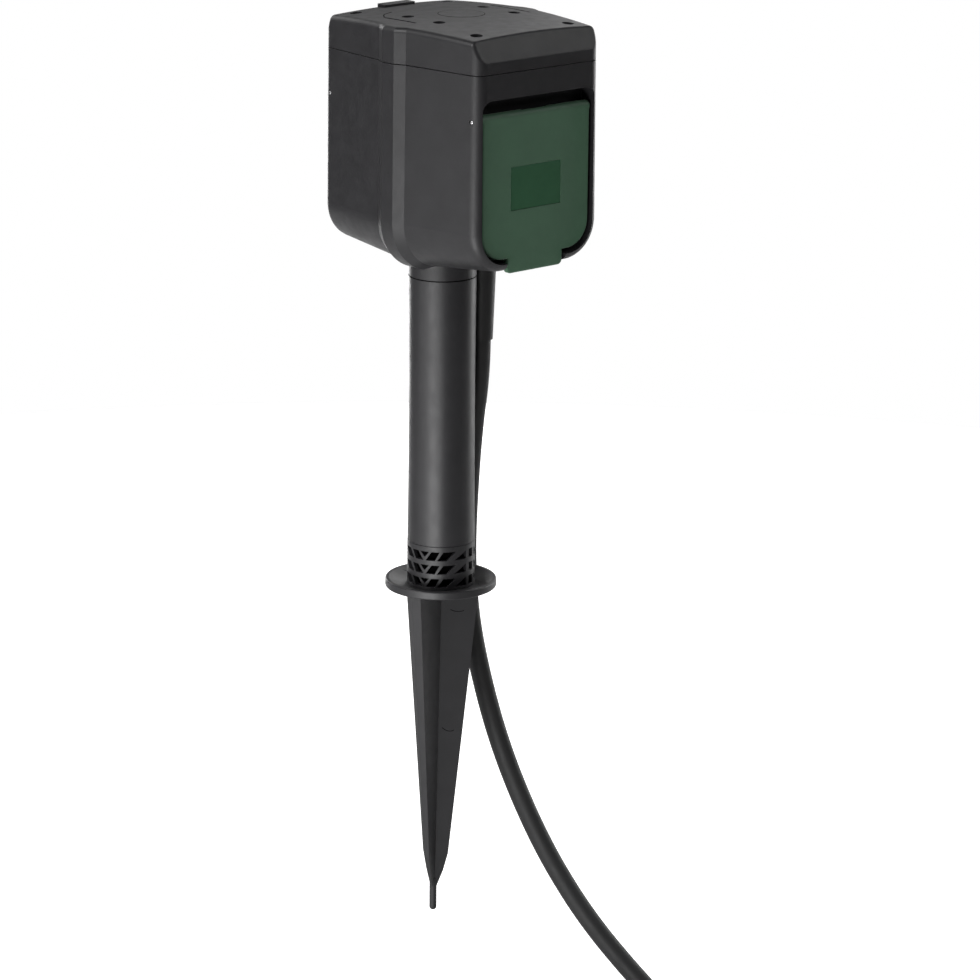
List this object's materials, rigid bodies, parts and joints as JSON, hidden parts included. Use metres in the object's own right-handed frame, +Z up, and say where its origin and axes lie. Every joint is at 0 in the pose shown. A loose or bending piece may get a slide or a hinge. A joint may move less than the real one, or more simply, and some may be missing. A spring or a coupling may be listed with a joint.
{
  "type": "garden socket",
  "caption": "Two-way outdoor socket head with spring lids on a post and ground spike, with a lead that ends in a plug.",
  "frame": {"origin": "on the post's axis at the underside of the ground flange, which is ground level", "axes": "+Z up along the post, -Y out of the front lid, +X to the right as seen from the front lid"},
  "size_m": [0.1404, 0.3219, 0.5224],
  "materials": {
    "housing_plastic": "satin",
    "cover_plastic": "satin",
    "lid_plastic": "semi-gloss",
    "post_plastic": "satin",
    "spike_plastic": "satin",
    "lead_rubber": "satin",
    "plug_rubber": "satin",
    "seal_rubber": "matt",
    "insert_plastic": "satin",
    "clamp_plastic": "satin",
    "brown_wire": "satin",
    "blue_wire": "satin",
    "green_yellow_wire": "satin",
    "contact_brass": "satin",
    "contact_nickel": "satin",
    "pin_steel": "satin",
    "spring_steel": "dark",
    "screw_steel": "dark zinc"
  },
  "bodies": {
    "housing": {"cable": "lead_rubber", "cable_coil": "lead_rubber", "cable_gland": "plug_rubber", "cable_tie": "clamp_plastic", "clamp_screws": "screw_steel", "cord_clamp": "clamp_plastic", "cover_screws": "screw_steel", "cover_seal": "seal_rubber", "earth_bar": "contact_brass", "earth_wire": "green_yellow_wire", "front_contacts": "contact_brass", "front_earth_clip": "contact_nickel", "front_hinge_pin": "pin_steel", "front_lid_spring": "spring_steel", "front_socket": "insert_plastic", "front_socket_screws": "screw_steel", "ground_spike": "spike_plastic", "head_body": "housing_plastic", "head_cover": "cover_plastic", "lattice_ring": "post_plastic", "lead_tail": "lead_rubber", "live_bar": "contact_brass", "live_wire": "brown_wire", "neutral_bar": "contact_brass", "neutral_wire": "blue_wire", "plug_body": "plug_rubber", "plug_earth_strips": "contact_nickel", "plug_pins": "contact_nickel", "post_tube": "post_plastic", "rear_contacts": "contact_brass", "rear_earth_clip": "contact_nickel", "rear_hinge_pin": "pin_steel", "rear_lid_spring": "spring_steel", "rear_socket": "insert_plastic", "rear_socket_screws": "screw_steel", "terminal_screws": "screw_steel", "top_disc": "cover_plastic"},
    "front_lid": {"front_lid": "lid_plastic", "front_lid_seal": "seal_rubber"},
    "rear_lid": {"rear_lid": "lid_plastic", "rear_lid_seal": "seal_rubber"}
  },
  "joints": [
    {"name": "front_lid_hinge", "type": "hinge", "parent": "housing", "child": "front_lid", "pos_m": [0.0106, -0.0502, 0.2375], "axis": [-1, 0, 0], "range_deg": [0, 130], "stiffness_Nm_per_rad": 0.01},
    {"name": "rear_lid_hinge", "type": "hinge", "parent": "housing", "child": "rear_lid", "pos_m": [0.0106, 0.0502, 0.2375], "axis": [1, 0, 0], "range_deg": [0, 130], "stiffness_Nm_per_rad": 0.01}
  ]
}
